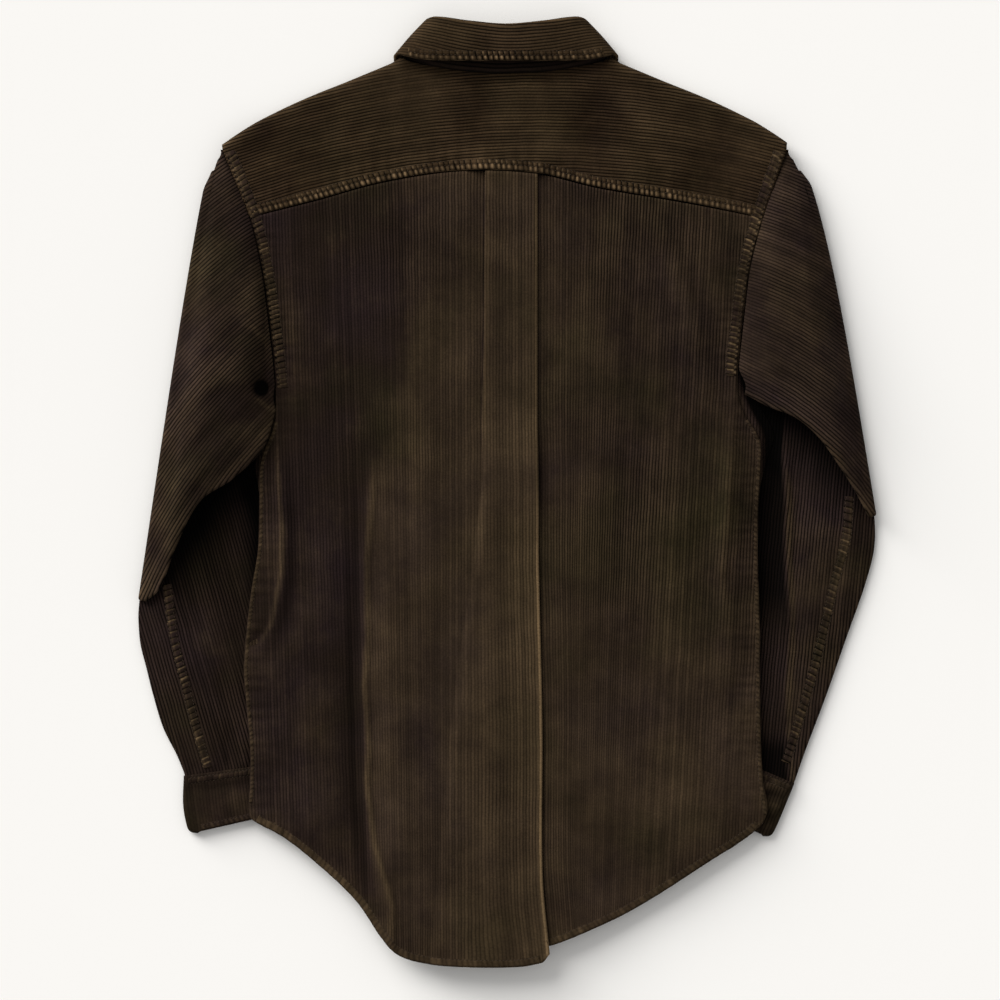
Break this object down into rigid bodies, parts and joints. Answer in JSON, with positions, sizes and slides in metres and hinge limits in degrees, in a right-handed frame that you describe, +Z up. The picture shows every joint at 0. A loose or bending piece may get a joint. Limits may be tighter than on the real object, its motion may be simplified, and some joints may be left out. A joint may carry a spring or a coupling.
{
  "type": "corduroy shirt jacket",
  "caption": "Long-sleeved corduroy shirt jacket laid out flat on its front, with a yoke, a box pleat down the back, a turned-down collar and a curved shirt-tail hem.",
  "frame": {"origin": "centre of the overall box, on the surface that the garment lies on", "axes": "+X across the shoulders, towards the wearer's right sleeve; +Y from hem to collar; +Z up, out of the back of the garment"},
  "size_m": [0.6254, 0.8076, 0.0295],
  "materials": {
    "corduroy": "dark brown cotton corduroy, wales 2.7 mm apart, worn paler along its seams",
    "button": "dark brown, softly polished"
  },
  "bodies": {
    "root": {"back": "corduroy", "yoke": "corduroy", "front_left": "corduroy", "front_right": "corduroy", "sleeve_left": "corduroy", "sleeve_right": "corduroy", "cuff_left": "corduroy", "cuff_right": "corduroy", "collar_stand": "corduroy", "collar": "corduroy", "button_1": "button", "button_2": "button", "button_3": "button", "button_4": "button", "button_5": "button", "button_6": "button", "button_7": "button"}
  },
  "joints": []
}
